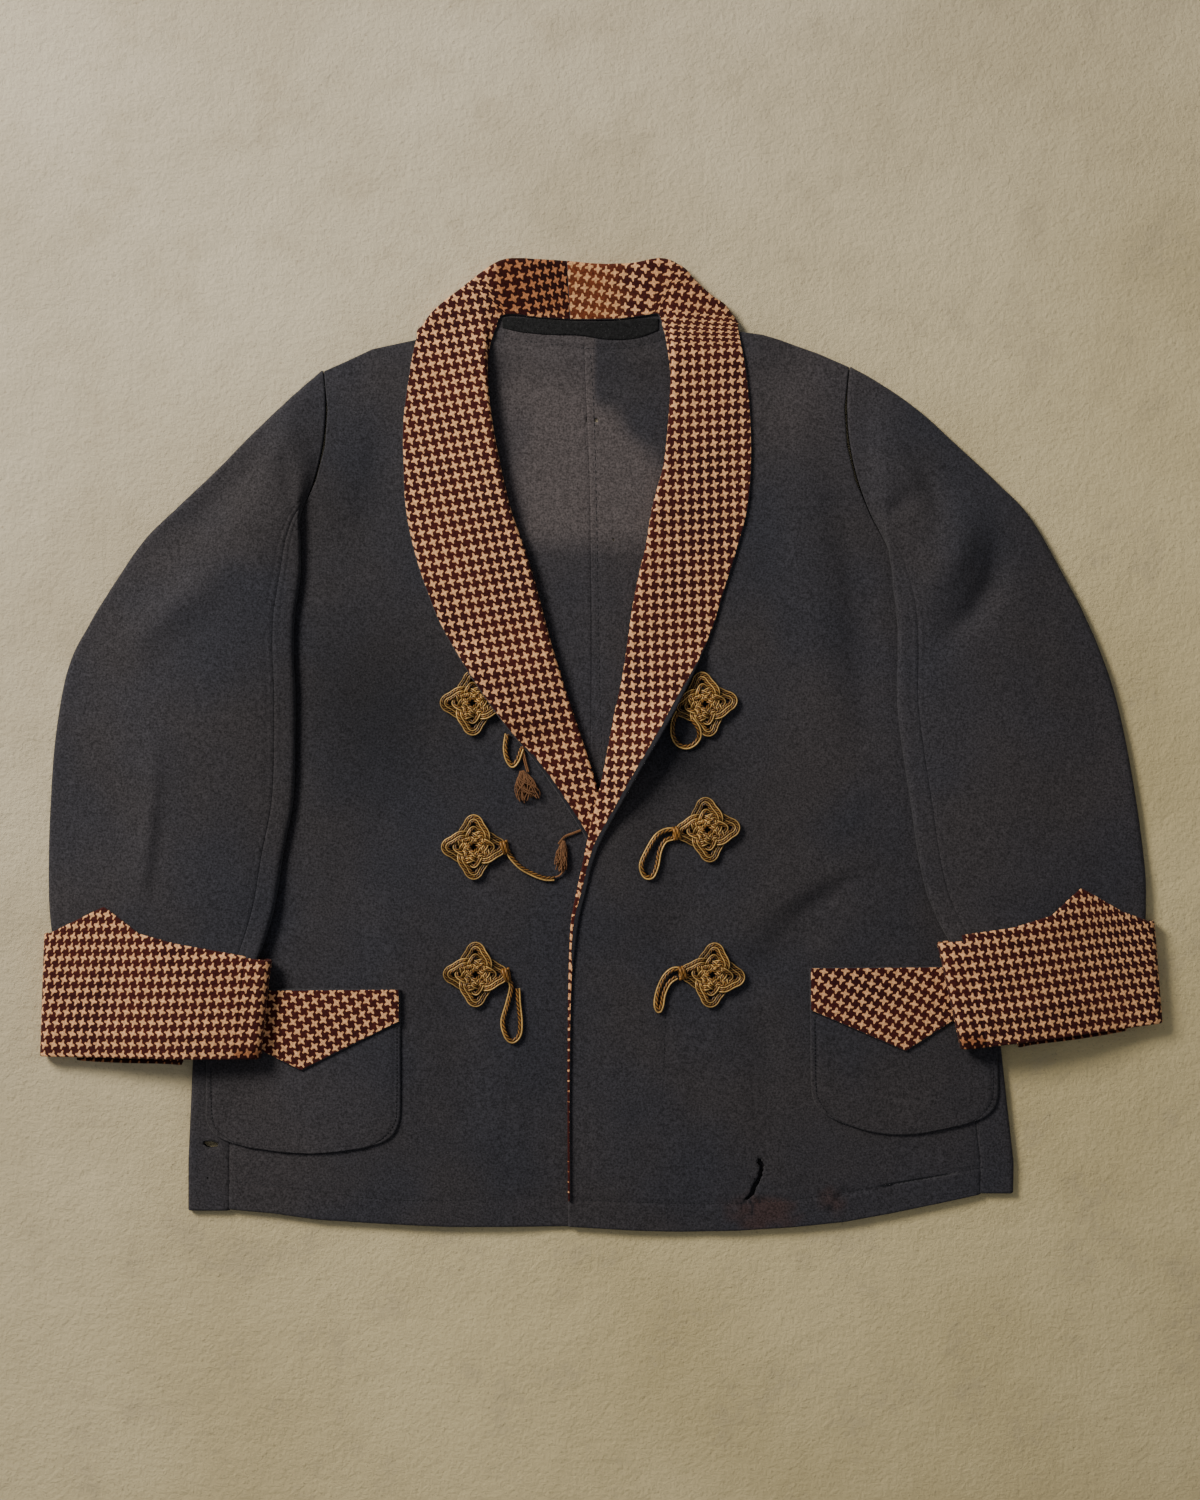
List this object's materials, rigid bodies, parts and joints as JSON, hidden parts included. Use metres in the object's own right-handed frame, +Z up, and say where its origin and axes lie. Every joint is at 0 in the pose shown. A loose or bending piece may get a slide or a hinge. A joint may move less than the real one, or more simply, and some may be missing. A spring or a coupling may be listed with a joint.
{
  "type": "smoking jacket",
  "caption": "Wool smoking jacket laid flat, with a houndstooth shawl collar, pointed turned cuffs, patch pockets and braided cord frogs.",
  "frame": {"origin": "on the surface under the middle of the laid-out jacket", "axes": "+Z up from the surface to the fronts, +Y from hem to collar, +X toward the wearer's left sleeve"},
  "size_m": [0.901, 0.787, 0.0285],
  "materials": {
    "wool": "charcoal blue-grey felted wool, matt, faded and moth-nibbled",
    "check": "woven houndstooth wool, peach on maroon",
    "tape": "near-black neck tape",
    "cord": "antique gold twisted cord with a slight sheen"
  },
  "bodies": {
    "root": {"back_right": "wool", "back_left": "wool", "front_right": "wool", "front_left": "wool", "upper_sleeve_right": "wool", "under_sleeve_right": "wool", "upper_sleeve_left": "wool", "under_sleeve_left": "wool", "cuff_upper_right": "check", "cuff_under_right": "check", "cuff_upper_left": "check", "cuff_under_left": "check", "collar_right": "check", "collar_left": "check", "neck_tape": "tape", "pocket_right": "wool", "pocket_left": "wool", "pocket_trim_right": "check", "pocket_trim_left": "check", "frog_knot_right_top": "cord", "frog_knot_right_middle": "cord", "frog_knot_right_low": "cord", "frog_knot_left_top": "cord", "frog_knot_left_middle": "cord", "frog_knot_left_low": "cord", "frog_loop_right_top": "cord", "frog_loop_right_middle": "cord", "frog_loop_right_low": "cord", "frog_loop_left_top": "cord", "frog_loop_left_middle": "cord", "frog_loop_left_low": "cord", "frog_frayed_right_top": "cord", "frog_frayed_right_middle": "cord"}
  },
  "joints": []
}
